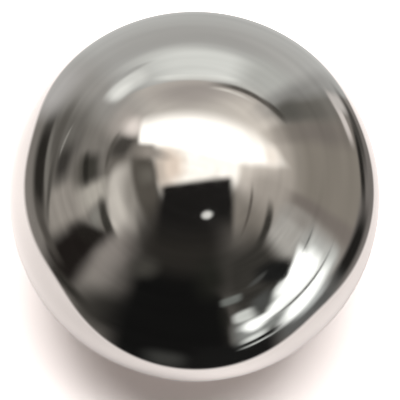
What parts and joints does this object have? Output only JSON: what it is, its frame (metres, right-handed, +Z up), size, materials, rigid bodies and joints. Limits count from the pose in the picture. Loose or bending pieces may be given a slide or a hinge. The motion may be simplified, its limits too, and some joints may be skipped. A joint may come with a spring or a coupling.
{
  "type": "steel ball",
  "caption": "Solid round ball of mirror-polished steel with no seam, flat or hole, used as a rolling element, weight, check ball or desk piece.",
  "frame": {"origin": "centre of the ball", "axes": "+Z up, away from the surface the ball is set on; the ball is the same about every axis through its centre"},
  "size_m": [0.0508, 0.0508, 0.0508],
  "materials": {
    "polished_steel": "polished"
  },
  "bodies": {
    "root": {"steel_ball": "polished_steel"}
  },
  "joints": []
}
